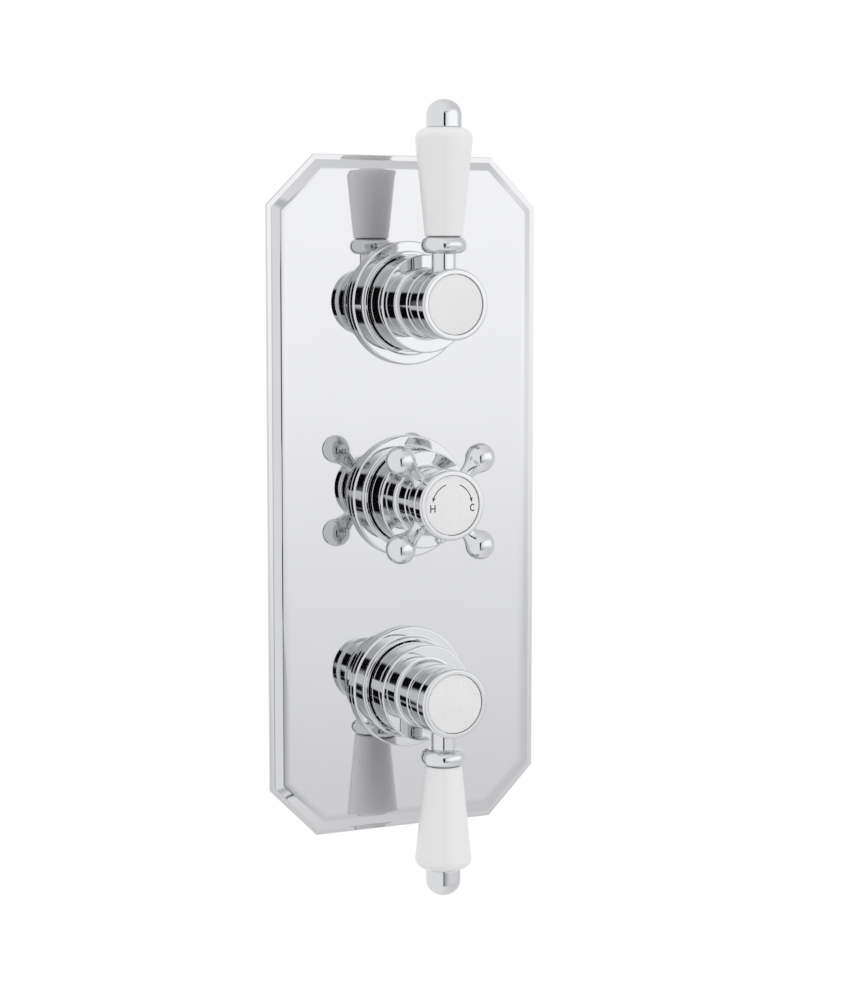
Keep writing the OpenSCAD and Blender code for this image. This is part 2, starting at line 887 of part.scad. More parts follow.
module thermostat_shuttle() {
    from = shuttle_d - shuttle_l / 2;
    to = shuttle_d + shuttle_l / 2;
    r = housing_bore_r - running;
    color(brass) on_axis(0) difference() {
        union() {
            tube(r, r - shuttle_wall, from, to);
            rod(r - shuttle_wall / 2, shuttle_d - shuttle_web_t / 2, shuttle_d + shuttle_web_t / 2);
        }
        rod(wax_r + assembly, from, to);
        for (turn = [0 : 90 : 270]) rotate(turn) translate([shuttle_hole_reach, 0, 0])
            rod(shuttle_hole_r, from, to);
    }
}

module wax_element() {
    seat = shuttle_d + shuttle_web_t / 2 + face_gap;
    color(brass) on_axis(0) {
        rod(wax_r, seat - wax_l, seat + wax_cap_l);
        rod(wax_r + wax_flange, seat, seat + wax_flange);
        rod(wax_pin_r, seat, nut_end() - face_gap);
    }
}

// The nut on the temperature spindle's thread. It pushes the wax element, so it moves with the shuttle.
function nut_end() = adjuster_end - shuttle_travel - assembly - nut_floor;

module adjuster_nut() {
    nut_front = -boss_front - bonnet_thread_l - shuttle_travel - assembly;
    color(brass) on_axis(0) difference() {
        translate([0, 0, nut_end()]) cylinder(r = nut_r, h = nut_front - nut_end(), $fn = 6);
        rod(adjuster_r + running, nut_end() + nut_floor, nut_front + over);
    }
}

module return_spring() {
    start = mixer_end_d + assembly + housing_lip_t + face_gap;
    length = shuttle_d - shuttle_l / 2 - start - face_gap;
    color(steel) on_axis(0) translate([0, 0, start])
        spring(return_spring_r, return_wire_r, return_turns, length);
}

module o_rings() {
    ring_x = boss_bore_r - assembly - ring_groove_deep + ring_wire_r + face_gap;
    color(rubber) {
        for (d = ring_ds) on_axis(0) translate([0, 0, d]) o_ring(ring_x - face_gap);
        for (z = [-knob_pitch, knob_pitch]) on_axis(z) translate([0, 0, bush_ring_d]) o_ring(ring_x);
    }
}

module ring_groove(r, d) {
    tube(r + over, r - ring_groove_deep, d - ring_groove_w / 2, d + ring_groove_w / 2);
}

module o_ring(x) {
    rotate_extrude() translate([x, 0]) circle(r = ring_wire_r, $fn = 24);
}

// Inlets: a strainer and a check valve in each mouth

module on_inlet(side) {
    translate([0, -inlet_d, 0]) rotate([0, side * 90, 0]) children();
}

cage_front = inlet_reach - thread_l - filter_seat_l;
cage_rear = cage_front - cage_l;
poppet_front = cage_front - cage_seat_t - face_gap;

module check_valve_cages() {
    color(polymer) for (side = [-1, 1]) on_inlet(side) {
        difference() {
            rod(cage_r, cage_rear, cage_front - face_gap);
            rod(cage_bore_r, cage_rear - over, cage_front - cage_seat_t);
            rod(cage_seat_r, cage_rear - over, cage_front + over);
        }
        difference() {
            union() {
                rod(cage_hub_r, cage_rear, cage_rear + cage_web_t);
                for (turn = [0, 90]) rotate(turn) translate([0, 0, cage_rear + cage_web_t / 2])
                    cube([cage_r + cage_bore_r, cage_spoke_w, cage_web_t], center = true);
            }
            rod(poppet_stem_r + running, cage_rear - over, cage_front);
        }
    }
}

module check_poppet(side) {
    color(polymer) on_inlet(side) {
        rod(poppet_r, poppet_front - poppet_t, poppet_front);
        rod(poppet_stem_r, cage_rear - poppet_tail, poppet_front - poppet_t);
    }
}

module check_spring(side) {
    start = cage_rear + cage_web_t + face_gap;
    color(steel) on_inlet(side) translate([0, 0, start])
        spring(check_spring_r, check_wire_r, check_turns, poppet_front - poppet_t - face_gap - start);
}

module inlet_filters() {
    pitch = 2 * (filter_seat_r - filter_rim) / (filter_bars + 1);
    color(steel) for (side = [-1, 1]) on_inlet(side)
        translate([0, 0, cage_front + face_gap]) linear_extrude(filter_t) {
            difference() {
                circle(r = filter_seat_r - assembly);
                circle(r = filter_seat_r - filter_rim);
            }
            intersection() {
                circle(r = filter_seat_r - filter_rim / 2);
                for (turn = [0, 90], i = [1 : filter_bars])
                    rotate(turn) translate([0, i * pitch - filter_seat_r + filter_rim])
                        square([2 * filter_seat_r, filter_bar], center = true);
            }
        }
}

// Brass body: three bosses on one trunk, two inlets, two outlets and four fixing lugs

module on_outlet(side) {
    translate([0, -outlet_d, side * knob_pitch]) rotate([side > 0 ? 0 : 180, 0, 0]) children();
}

module lug_bar() {
    linear_extrude(lug_t) {
        square([fixing_w, 2 * lug_half], center = true);
        for (x = [-fixing_w / 2, fixing_w / 2]) translate([x, 0]) circle(r = lug_r);
    }
}

module valve_body() {
    inlet_step = inlet_reach - thread_l;
    outlet_step = outlet_reach - thread_l;
    color(brass) difference() {
        union() {
            for (z = [-knob_pitch, 0, knob_pitch]) on_axis(z) rod(boss_r, -body_back, -boss_front);
            translate([0, -trunk_d, 0]) cylinder(r = trunk_r, h = 2 * knob_pitch, center = true);
            for (side = [-1, 1]) {
                on_inlet(side) rod(inlet_r, 0, inlet_reach);
                on_outlet(side) rod(outlet_r, 0, outlet_reach);
                on_axis(side * fixing_h / 2) translate([0, 0, -body_back]) lug_bar();
            }
        }
        translate([0, -trunk_d, 0]) cylinder(r = trunk_bore_r, h = 2 * knob_pitch, center = true);
        on_axis(0) {
            rod(boss_bore_r, mixer_end_d, over - boss_front);
            rod(mixer_rear_r, body_wall - body_back, mixer_end_d + over);
        }
        for (side = [-1, 1]) {
            on_axis(side * knob_pitch) {
                rod(boss_bore_r, seat_d, over - boss_front);
                rod(seat_hole_r, body_wall - body_back, seat_d + over);
            }
            on_inlet(side) {
                rod(thread_r, inlet_step, inlet_reach + over);
                rod(filter_seat_r, inlet_step - filter_seat_l, inlet_step + over);
                rod(check_pocket_r, check_pocket_end, inlet_step);
            }
            on_outlet(side) {
                rod(thread_r, outlet_step, outlet_reach + over);
                rod(outlet_port_r, boss_bore_r - over, outlet_step + over);
            }
            for (x = [-fixing_w / 2, fixing_w / 2]) on_axis(side * fixing_h / 2)
                translate([x, 0, 0]) rod(fixing_r, -body_back - over, lug_t + over - body_back);
        }
        for (port = [[-1, hot_port_d], [1, cold_port_d]]) translate([0, -port[1], 0])
            rotate([0, port[0] * 90, 0]) rod(inlet_port_r, boss_bore_r - over, check_pocket_end + over);
    }
}

face_plate();
plate_seal();
valve_body();
mounting_sleeves();
o_rings();
escutcheon(knob_pitch);  // top_escutcheon
escutcheon(0);  // centre_escutcheon
escutcheon(-knob_pitch);  // bottom_escutcheon
cartridge_bush(knob_pitch);  // top_cartridge_bush
seat_seal(knob_pitch);  // top_seat_seal
fixed_disc(knob_pitch);  // top_fixed_disc
moving_disc(knob_pitch);  // top_moving_disc
lever_spindle(knob_pitch);  // top_spindle
lever_hub(1);  // top_hub
handle_screw(knob_pitch, lever_skirt_l);  // top_handle_screw
cap_ring(knob_pitch, lever_hub_front);  // top_cap_ring
index_disc(knob_pitch, lever_hub_front);  // top_index_disc
lever_stem(1);  // top_lever_stem
lever_sleeve(1);  // top_lever_sleeve
finial(1);  // top_finial
cartridge_bush(-knob_pitch);  // bottom_cartridge_bush
seat_seal(-knob_pitch);  // bottom_seat_seal
fixed_disc(-knob_pitch);  // bottom_fixed_disc
moving_disc(-knob_pitch);  // bottom_moving_disc
lever_spindle(-knob_pitch);  // bottom_spindle
lever_hub(-1);  // bottom_hub
handle_screw(-knob_pitch, lever_skirt_l);  // bottom_handle_screw
cap_ring(-knob_pitch, lever_hub_front);  // bottom_cap_ring
index_disc(-knob_pitch, lever_hub_front);  // bottom_index_disc
lever_stem(-1);  // bottom_lever_stem
lever_sleeve(-1);  // bottom_lever_sleeve
finial(-1);  // bottom_finial
thermostat_bonnet();
thermostat_housing();
thermostat_shuttle();
wax_element();
adjuster_nut();
return_spring();
temperature_spindle();
stop_ring();
centre_hub();
ball_arms();
handle_screw(0, cross_skirt_l);  // centre_handle_screw
cap_ring(0, cross_hub_front);  // centre_cap_ring
index_disc(0, cross_hub_front);  // centre_index_disc
override_button();
button_spring();
check_valve_cages();
inlet_filters();
check_poppet(-1);  // hot_check_poppet
check_poppet(1);  // cold_check_poppet
check_spring(-1);  // hot_check_spring
check_spring(1);  // cold_check_spring
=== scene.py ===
import json
import math

import bmesh
import bpy
from mathutils import Matrix, Vector


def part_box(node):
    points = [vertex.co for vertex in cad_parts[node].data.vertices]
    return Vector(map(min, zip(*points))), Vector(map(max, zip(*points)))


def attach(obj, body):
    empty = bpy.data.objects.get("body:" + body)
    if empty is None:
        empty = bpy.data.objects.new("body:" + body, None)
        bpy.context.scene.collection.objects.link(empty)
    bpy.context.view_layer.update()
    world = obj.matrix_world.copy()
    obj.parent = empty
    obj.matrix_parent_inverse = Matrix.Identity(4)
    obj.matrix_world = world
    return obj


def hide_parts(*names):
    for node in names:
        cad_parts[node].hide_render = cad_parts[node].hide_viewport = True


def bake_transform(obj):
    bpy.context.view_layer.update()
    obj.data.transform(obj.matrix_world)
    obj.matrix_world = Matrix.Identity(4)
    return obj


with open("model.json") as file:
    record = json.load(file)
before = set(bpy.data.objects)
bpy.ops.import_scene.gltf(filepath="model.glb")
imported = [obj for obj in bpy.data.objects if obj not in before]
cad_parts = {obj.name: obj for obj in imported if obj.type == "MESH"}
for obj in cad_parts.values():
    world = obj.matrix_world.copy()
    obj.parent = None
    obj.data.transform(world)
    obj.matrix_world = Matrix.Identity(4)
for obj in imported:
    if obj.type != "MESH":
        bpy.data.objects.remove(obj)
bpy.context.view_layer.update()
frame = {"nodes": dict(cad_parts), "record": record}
nodes = frame["nodes"]

# Sizes are in millimetres. A depth is measured from the wall towards the user, so it is -Y.
# An outline is a list of [radius, distance along the axis] pairs that a lathe turns.
MM = 0.001
SEGMENTS = 192
ARM_SEGMENTS = 96
ARC_STEPS = 10
SHARP_ANGLE = math.radians(38)
SUPPORT = 0.06
ON_AXIS = 1e-6
SEAT_GAP = 0.05


def node_radius(node):
    low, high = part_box(node)
    return (high.x - low.x) / 2 / MM


def node_depths(node):
    low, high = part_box(node)
    return -high.y / MM, -low.y / MM


# Face plate
PITCH = (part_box("top_index_disc")[0].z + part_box("top_index_disc")[1].z) / 2 / MM
PLATE_LOW, PLATE_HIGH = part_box("face_plate")
PLATE_W = (PLATE_HIGH.x - PLATE_LOW.x) / MM
PLATE_H = (PLATE_HIGH.z - PLATE_LOW.z) / MM
PANEL_D = -PLATE_LOW.y / MM
PLATE_T = 1.2
PLATE_CORNER = 22
PLATE_EDGE = 0.35
PLATE_EDGE_STEPS = 6
PLATE_HOLE_R = 17.6
HOLE_STEPS = 96
RIM_W = 2.2
RIM_BACK_D = 0.3
STEP_H = 0.12
STEP_W = 0.1
BEVEL_W = 3.6
BEVEL_SLOPE = 27.5
BEVEL_SUPPORT = 0.12
EDGE_W = 0.65
EDGE_STEPS = 4
ROLL_SLOPE = 15
ROLL_W = 3.2
ROLL_STEPS = 14
ROLL_POWER = 1.5
PANEL_SUPPORTS = (0.5, 1.0)
PANEL_BACK_INSET = 0.6

# Escutcheons
FLANGE_GROWTH = 0.4
FLANGE_R = node_radius("top_escutcheon") + FLANGE_GROWTH
FLANGE_T = 3.5
FLANGE_EDGE = 0.8
FLANGE_BACK_EDGE = 0.5
FLANGE_BACK_INSET = 1.2
COLLAR_R = 22.6
COLLAR_COVE = 0.5
COLLAR_FRONT_D = node_depths("top_escutcheon")[1]
COLLAR_EDGE = 0.5
COLLAR_BORE = 21.2
BORE_EDGE = 0.15
RECESS_L = 2
SLEEVE_R = 17.1

# Handle hubs
SKIRT_R = node_radius("top_hub")
WAIST_R = 20.84
WAIST_EDGE = 0.6
SKIRT_GROWTH = 0.13
SKIRT_BEAD_L = 2.0
SKIRT_BEAD_BACK = 0.28
SKIRT_BEAD_FRONT = 0.7
HUB_REAR_D, LEVER_FRONT_D = node_depths("top_hub")
CROSS_FRONT_D = node_depths("centre_hub")[1]
LEVER_SKIRT_L = 14.6
CROSS_SKIRT_L = 13.4
NECK_R = 14.6
CAVITY_R = 9.0
HUB_WALL = 2.0
HUB_WEB_T = 2.4
HUB_CORE_R = 7.5
HUB_CORE_INSET = 2
HUB_FLOOR_L = 5.1
SOCKET_R = 4.75
COVE_R = 1.4
LINE_SHARE = 0.45
LINE_L = 0.84
LINE_ROUND = 0.3
RIDGE_H = 0.45
RIDGE_L = 1.6

# Cap rings and index discs
CAP_R = node_radius("top_cap_ring")
CAP_L = 6.3
CAP_BACK_EDGE = 0.8
CAP_FRONT_EDGE = 1.1
CAP_LIP_EDGE = 0.3
CAP_FLOOR_L = 1.6
DISC_R = node_radius("top_index_disc")
DISC_SEAM = 0.12
DISC_SINK = 0.5
DISC_CROWN = 0.25
DISC_CROWN_SHARE = 0.96
DISC_BACK_L = 1.7
DISC_EDGE = 0.35
DISC_STEPS = 20

# Levers
LEVER_SET_BACK = 5.6
LEVER_D = LEVER_FRONT_D - LEVER_SET_BACK
STEM_R = 5.2
STEM_SINK = 1.4
STEM_COVE = 0.35
BEAD_REACH = 21.5
BEAD_R = node_radius("top_lever_stem")
BEAD_L = 7.2
SPIGOT_GAP = 0.6
SPIGOT_FOOT = CAVITY_R + SPIGOT_GAP
STEM_SPIGOT_R = 3.9
ROD_R = 2.9
ROD_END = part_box("top_lever_stem")[1].z / MM - PITCH
GRIP_BORE_R = 3
GRIP_FOOT_R = 8.1
GRIP_FOOT_EDGE = 0.7
GRIP_R = node_radius("top_lever_sleeve")
GRIP_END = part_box("top_finial")[0].z / MM - PITCH
GRIP_SHOULDER_L = 4.3
GRIP_SHOULDER_R = 4
GRIP_BLEND_L = 0.3
GRIP_SWELL = 0.96
GRIP_STEPS = 20
FINIAL_R = node_radius("top_finial")
FINIAL_EDGE = 0.5
FINIAL_SEAT_W = 0.7
FINIAL_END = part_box("top_finial")[1].z / MM - PITCH
DOME_SHARE = 0.55

# Cross handle. The arm's flare and the start of its taper are steps from its radius and the neck.
ARM_SET_BACK = 5.5
ARM_D = CROSS_FRONT_D - ARM_SET_BACK
ARM_ANGLES = (45, 135, 225, 315)
ARM_FOOT_R = 3.1
ARM_SPIGOT_R = 2.3
ARM_SINK = 1.2
ARM_FLARE = ((0.9, -0.6), (0.35, 0.3))
ARM_TAPER = ((0, 1.2), (-0.1, 3.2))
ARM_STEPS = 18
BALL_R = 6.5
BALL_REACH = 26.9
BALL_JOIN = 128
BALL_STEP = 4
BALL_EASE = 2.4
BUTTON_ANGLE = 270
BUTTON_FOOT = -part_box("override_button")[1].z / MM
BUTTON_REACH = -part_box("override_button")[0].z / MM
BUTTON_R = 2.6
BUTTON_EDGE = 0.8
BUTTON_FLANGE_R = 3.1
BUTTON_FLANGE_T = 1

# Marks on the centre disc
INK_RISE = 0.02
INK_T = 0.03
STROKE = 0.52
ARROW_STROKE = 0.8 * STROKE
LETTER_H = 3.3
LETTER_W = 2.5
H_AT = (-9.2, -1.0)
C_AT = (9.75, -1.2)
C_ANGLES = range(48, 313, 12)
C_WIDEN = 1.1
MARK_ARC_R = 9.4
ARROW_ANGLES = ((109, 170), (68, 6))
ARROW_STEPS = 24
HEAD_L = 2.5
HEAD_W = 1.5
HEAD_SHARE = 0.8

KNOBS = (("top", PITCH), ("centre", 0.0), ("bottom", -PITCH))
HANDLE_BODY = {"top": "top_handle", "centre": "temperature_handle", "bottom": "bottom_handle"}


# Mesh helpers

def oval(x, y, rx, ry, degrees):
    """Points of an outline round [x, y] at the given angles."""
    angles = [math.radians(a) for a in degrees]
    return [(x + rx * math.cos(a), y + ry * math.sin(a)) for a in angles]


def arc(x, y, r, start, end, steps=ARC_STEPS):
    """Points of an outline along a circle, from one angle to the other in degrees."""
    return oval(x, y, r, r, [start + (end - start) * i / steps for i in range(steps + 1)])


def bezier(a, b, c, d, steps):
    """Points of a cubic curve between two outline points."""
    points = []
    for i in range(steps + 1):
        t = i / steps
        weights = ((1 - t) ** 3, 3 * t * (1 - t) ** 2, 3 * t * t * (1 - t), t ** 3)
        points.append(tuple(sum(w * p[k] for w, p in zip(weights, (a, b, c, d))) for k in (0, 1)))
    return points


def on_axis(z):
    """Local z becomes the depth in front of the wall, round the knob at height z."""
    return Matrix.Translation((0, 0, z * MM)) @ Matrix.Rotation(math.radians(90), 4, "X")


def on_lever(side):
    """Local z becomes the distance from the knob's axis along a lever."""
    turn = Matrix.Rotation(0 if side > 0 else math.pi, 4, "Y")
    return Matrix.Translation((0, -LEVER_D * MM, side * PITCH * MM)) @ turn


def on_arm(angle):
    """Local z becomes the distance from the knob's axis along an arm of the cross handle."""
    turn = Matrix.Rotation(math.radians(90 - angle), 4, "Y")
    return Matrix.Translation((0, -ARM_D * MM, 0)) @ turn


def is_ring(outline):
    """Whether an outline stays off the axis, so that its last point joins its first."""
    return outline[0][0] > ON_AXIS and outline[-1][0] > ON_AXIS


def supported(outline):
    """Adds points near the ends of long straight stretches, so that they stay flat when shaded."""
    points = []
    for i, start in enumerate(outline):
        points.append(start)
        if i + 1 == len(outline) and not is_ring(outline):
            break
        end = outline[(i + 1) % len(outline)]
        length = math.dist(start, end)
        if length > 4 * SUPPORT:
            for t in (SUPPORT / length, 1 - SUPPORT / length):
                points.append(tuple(a + (b - a) * t for a, b in zip(start, end)))
    return points


def add_lathe(bm, outline, place, segments=SEGMENTS):
    """Turns an outline about local z. A radius of zero closes the form on its axis."""
    outline = supported(outline)
    turns = [2 * math.pi * i / segments for i in range(segments)]
    rings = []
    for radius, along in outline:
        r = radius * MM
        if radius < ON_AXIS:
            points = [Vector((0, 0, along * MM))]
        else:
            points = [Vector((r * math.cos(a), r * math.sin(a), along * MM)) for a in turns]
        rings.append([bm.verts.new(place @ point) for point in points])
    pairs = list(zip(rings, rings[1:]))
    if is_ring(outline):
        pairs.append((rings[-1], rings[0]))
    for low, high in pairs:
        for i in range(segments):
            k = (i + 1) % segments
            if len(low) == 1 and len(high) == 1:
                continue
            if len(low) == 1:
                bm.faces.new((low[0], high[k], high[i]))
            elif len(high) == 1:
                bm.faces.new((low[i], low[k], high[0]))
            else:
                bm.faces.new((low[i], low[k], high[k], high[i]))


def mesh_object(name, bm, material, body, replaced=()):
    bmesh.ops.recalc_face_normals(bm, faces=bm.faces)
    mesh = bpy.data.meshes.new(name)
    bm.to_mesh(mesh)
    bm.free()
    mesh.shade_smooth()
    mesh.set_sharp_from_angle(angle=SHARP_ANGLE)
    mesh.materials.append(material)
    piece = bpy.data.objects.new(name, mesh)
    bpy.context.scene.collection.objects.link(piece)
    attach(piece, body)
    if replaced:
        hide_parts(*replaced)
    return piece


def lathe_piece(name, outline, place, material, body, replaced):
    bm = bmesh.new()
    add_lathe(bm, outline, place)
    mesh_object(name, bm, material, body, (replaced,))


# Materials

def range_node(tree, source, from_range, to_range=(0, 1), smooth=False):
    span = tree.nodes.new("ShaderNodeMapRange")
    if smooth:
        span.interpolation_type = "SMOOTHSTEP"
    span.inputs["From Min"].default_value = from_range[0]
    span.inputs["From Max"].default_value = from_range[1]
    span.inputs["To Min"].default_value = to_range[0]
    span.inputs["To Max"].default_value = to_range[1]
    tree.links.new(source, span.inputs["Value"])
    return span.outputs["Result"]


def ramp_node(tree, source, table):
    """A colour ramp of [position, colour] pairs."""
    ramp = tree.nodes.new("ShaderNodeValToRGB")
    tree.links.new(source, ramp.inputs["Fac"])
    elements = ramp.color_ramp.elements
    while len(elements) < len(table):
        elements.new(0.5)
    for element, (position, colour) in zip(elements, table):
        element.position = position
        element.color = (*colour, 1)
    return ramp.outputs["Color"]


def noise_node(tree, scale, detail):
    coords = tree.nodes.new("ShaderNodeTexCoord")
    texture = tree.nodes.new("ShaderNodeTexNoise")
    texture.inputs["Scale"].default_value = scale
    texture.inputs["Detail"].default_value = detail
    tree.links.new(coords.outputs["Object"], texture.inputs["Vector"])
    return texture.outputs["Fac"]


# Each finish has its dark and light colour,
# then its metallic value, lowest and highest roughness, the scale on which colour and roughness
# drift, and the scale, strength and height of its fine relief.
FINISHES = {
    "chrome": (
        (0.665, 0.67, 0.68), (0.69, 0.695, 0.705),
        1, (0.015, 0.045), 45, (60, 0.05, 0.05),
    ),
    "panel_chrome": (
        (0.645, 0.648, 0.656), (0.656, 0.659, 0.667),
        1, (0.01, 0.03), 18, (22, 0.04, 0.05),
    ),
    "glazed_ceramic": (
        (0.818, 0.818, 0.816), (0.828, 0.828, 0.826),
        0, (0.27, 0.30), 30, (45, 0.03, 0.02),
    ),
    "index_glaze": (
        (0.79, 0.79, 0.786), (0.82, 0.82, 0.816),
        0, (0.14, 0.22), 90, (160, 0.05, 0.02),
    ),
    "ink": (
        (0.030, 0.030, 0.032), (0.045, 0.045, 0.048),
        0, (0.45, 0.6), 300, (900, 0.1, 0.01),
    ),
    "cast_brass": (
        (0.52, 0.37, 0.17), (0.70, 0.52, 0.26),
        1, (0.30, 0.46), 90, (420, 0.35, 0.12),
    ),
    "turned_brass": (
        (0.66, 0.49, 0.24), (0.78, 0.60, 0.32),
        1, (0.16, 0.28), 120, (700, 0.15, 0.03),
    ),
    "rubber": (
        (0.018, 0.018, 0.019), (0.032, 0.032, 0.033),
        0, (0.55, 0.72), 160, (500, 0.25, 0.04),
    ),
    "moulded_polymer": (
        (0.075, 0.082, 0.095), (0.10, 0.108, 0.122),
        0, (0.38, 0.5), 120, (600, 0.2, 0.03),
    ),
    "bright_steel": (
        (0.55, 0.56, 0.57), (0.66, 0.67, 0.68),
        1, (0.2, 0.32), 200, (800, 0.15, 0.02),
    ),
    "lapped_alumina": (
        (0.86, 0.855, 0.83), (0.91, 0.905, 0.88),
        0, (0.1, 0.18), 120, (300, 0.05, 0.01),
    ),
}
DRIFT_DETAIL = 3.0
RELIEF_DETAIL = 4.0
DRIFT_RANGE = (0.3, 0.7)

# The coat of a finish: its weight and roughness
COATS = {"glazed_ceramic": (0.25, 0.22), "index_glaze": (0.4, 0.06)}


def make_material(name):
    """A finish whose colour and roughness drift over the surface, with a fine relief."""
    dark, light, metallic, rough, drift_scale, relief = FINISHES[name]
    relief_scale, relief_strength, relief_height = relief
    material = bpy.data.materials.new(name)
    material.use_nodes = True
    tree = material.node_tree
    shader = tree.nodes["Principled BSDF"]
    shader.inputs["Base Color"].default_value = (*light, 1)
    shader.inputs["Metallic"].default_value = metallic
    shader.inputs["Roughness"].default_value = rough[0]
    drift = noise_node(tree, drift_scale, DRIFT_DETAIL)
    colour = ramp_node(tree, drift, list(zip(DRIFT_RANGE, (dark, light))))
    tree.links.new(colour, shader.inputs["Base Color"])
    tree.links.new(range_node(tree, drift, DRIFT_RANGE, rough), shader.inputs["Roughness"])
    bump = tree.nodes.new("ShaderNodeBump")
    bump.inputs["Strength"].default_value = relief_strength
    bump.inputs["Distance"].default_value = relief_height * MM
    tree.links.new(noise_node(tree, relief_scale, RELIEF_DETAIL), bump.inputs["Height"])
    tree.links.new(bump.outputs["Normal"], shader.inputs["Normal"])
    if name in COATS:
        shader.inputs["Coat Weight"].default_value = COATS[name][0]
        shader.inputs["Coat Roughness"].default_value = COATS[name][1]
    return material


MATERIALS = {name: make_material(name) for name in FINISHES}
CHROME = MATERIALS["chrome"]
GLAZE = MATERIALS["glazed_ceramic"]
DISC_GLAZE = MATERIALS["index_glaze"]

SLOT_FINISHES = {
    "chrome": "chrome", "brass": "cast_brass", "steel": "bright_steel", "rubber": "rubber",
    "ceramic": "glazed_ceramic", "index_white": "index_glaze", "seal_ceramic": "lapped_alumina",
    "polymer": "moulded_polymer",
}
TURNED_NODES = (
    "mounting_sleeves", "top_cartridge_bush", "bottom_cartridge_bush", "top_spindle",
    "bottom_spindle", "thermostat_bonnet", "thermostat_shuttle", "wax_element", "adjuster_nut",
    "temperature_spindle",
)


def dress_cad_nodes():
    for entry in frame["record"]["subparts"]:
        turned = entry["node"] in TURNED_NODES
        finish = "turned_brass" if turned else SLOT_FINISHES[entry["material_slot"]]
        mesh = nodes[entry["node"]].data
        mesh.materials.clear()
        mesh.materials.append(MATERIALS[finish])


# Face plate

def octagon(inset):
    corner = PLATE_CORNER - inset * (2 - math.sqrt(2))
    x = PLATE_W / 2 - inset
    z = PLATE_H / 2 - inset
    return [
        (-x, corner - z), (corner - x, -z), (x - corner, -z), (x, corner - z),
        (x, z - corner), (x - corner, z), (corner - x, z), (-x, z - corner),
    ]


def add_ring_faces(bm, low, high):
    for i in range(len(low)):
        k = (i + 1) % len(low)
        bm.faces.new((low[i], low[k], high[k], high[i]))


def roll_off(start, end_d):
    """The bevel from start, its polished edge, and the long roll into the flat panel at end_d."""
    edge_turn = (BEVEL_SLOPE - ROLL_SLOPE) / EDGE_STEPS
    turns = [
        (math.radians(BEVEL_SLOPE - edge_turn * i), EDGE_W / EDGE_STEPS)
        for i in range(1, EDGE_STEPS + 1)
    ]
    turns += [
        (math.radians(ROLL_SLOPE) * (1 - i / ROLL_STEPS) ** ROLL_POWER, ROLL_W / ROLL_STEPS)
        for i in range(1, ROLL_STEPS + 1)
    ]
    slope = math.radians(BEVEL_SLOPE)
    before = slope
    profile = []
    for angle, width in turns:
        profile.append((width, width * math.tan((angle + before) / 2)))
        before = angle
    rise = sum(step for _, step in profile)
    x = start[0] + (end_d - start[1] - rise) / math.tan(slope)
    d = end_d - rise
    support_rise = BEVEL_SUPPORT * math.tan(slope)
    points = [
        (start[0] + BEVEL_SUPPORT, start[1] + support_rise),
        (x - BEVEL_SUPPORT, d - support_rise), (x, d),
    ]
    for width, step in profile:
        x += width
        d += step
        points.append((x, d))
    return points + [(x + support, end_d) for support in PANEL_SUPPORTS]


def make_face_plate():
    """An outline of insets and depths goes round the octagon, one in front and one behind."""
    step_foot = (RIM_W + STEP_W, PLATE_T + STEP_H)
    front = [(0, 0)]
    front += arc(PLATE_EDGE, PLATE_T - PLATE_EDGE, PLATE_EDGE, 180, 90, PLATE_EDGE_STEPS)
    front += [(RIM_W - STEP_W, PLATE_T), (RIM_W, PLATE_T), (RIM_W, PLATE_T + STEP_H), step_foot]
    front += roll_off(step_foot, PANEL_D)
    back = [
        (RIM_W + BEVEL_W + PANEL_BACK_INSET, PANEL_D - PLATE_T),
        (RIM_W + PLATE_T, RIM_BACK_D), (RIM_W + PLATE_T, 0),
    ]
    bm = bmesh.new()
    front_rings, back_rings = (
        [[bm.verts.new(Vector((x, -d, z)) * MM) for x, z in octagon(inset)] for inset, d in profile]
        for profile in (front, back)
    )
    for rings in (front_rings, back_rings):
        for low, high in zip(rings, rings[1:]):
            add_ring_faces(bm, low, high)
    add_ring_faces(bm, back_rings[-1], front_rings[0])
    front_holes = add_pierced_panel(bm, front_rings[-1], PANEL_D)
    back_holes = add_pierced_panel(bm, back_rings[0], PANEL_D - PLATE_T)
    for front_hole, back_hole in zip(front_holes, back_holes):
        add_ring_faces(bm, front_hole, back_hole)
    material = MATERIALS["panel_chrome"]
    mesh_object("face_plate_visual", bm, material, "housing", ("face_plate",))


def add_pierced_panel(bm, border, depth):
    """Fills an octagon with a flat panel that the knobs' holes pierce, and gives their rims."""
    edges = [bm.edges.get((border[i], border[(i + 1) % len(border)])) for i in range(len(border))]
    rims = []
    for _, z in KNOBS:
        rim = []
        for i in range(HOLE_STEPS):
            a = 2 * math.pi * i / HOLE_STEPS
            point = Vector((PLATE_HOLE_R * math.cos(a), -depth, z + PLATE_HOLE_R * math.sin(a)))
            rim.append(bm.verts.new(point * MM))
        edges += [bm.edges.new((rim[i], rim[(i + 1) % HOLE_STEPS])) for i in range(HOLE_STEPS)]
        rims.append(rim)
    bmesh.ops.triangle_fill(bm, edges=edges, use_beauty=True)
    return rims


# Escutcheons, hubs, cap rings and index discs

